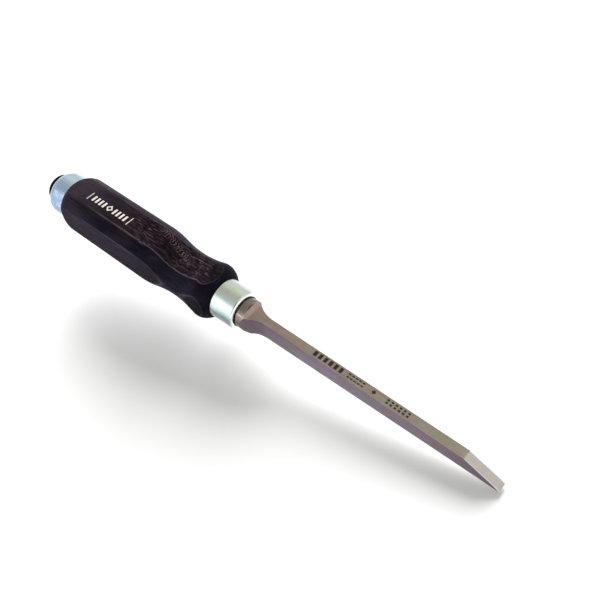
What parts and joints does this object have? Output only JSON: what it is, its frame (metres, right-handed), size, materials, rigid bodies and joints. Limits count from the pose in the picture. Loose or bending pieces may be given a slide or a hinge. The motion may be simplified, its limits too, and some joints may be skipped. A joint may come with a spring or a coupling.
{
  "type": "mortise chisel",
  "caption": "Mortise chisel: a thick narrow bevelled steel blade with a round bolster, in a turned and milled dark hardwood handle with a ferrule and a striking hoop.",
  "frame": {"origin": "middle of the whole tool, on the axis of the handle", "axes": "+X from the butt to the cutting edge, +Z the side the bevel is ground on, +Y and -Y the two flanks"},
  "size_m": [0.339, 0.0314, 0.0322],
  "materials": {
    "blade_steel": "ground and honed",
    "stained_wood": "dark stain, satin wax",
    "ferrule_zinc": "zinc plated, faint yellow and blue cast",
    "hoop_zinc": "zinc plated, bluish"
  },
  "bodies": {
    "root": {"blade": "blade_steel", "handle": "stained_wood", "ferrule": "ferrule_zinc", "striking_hoop": "hoop_zinc"}
  },
  "joints": []
}
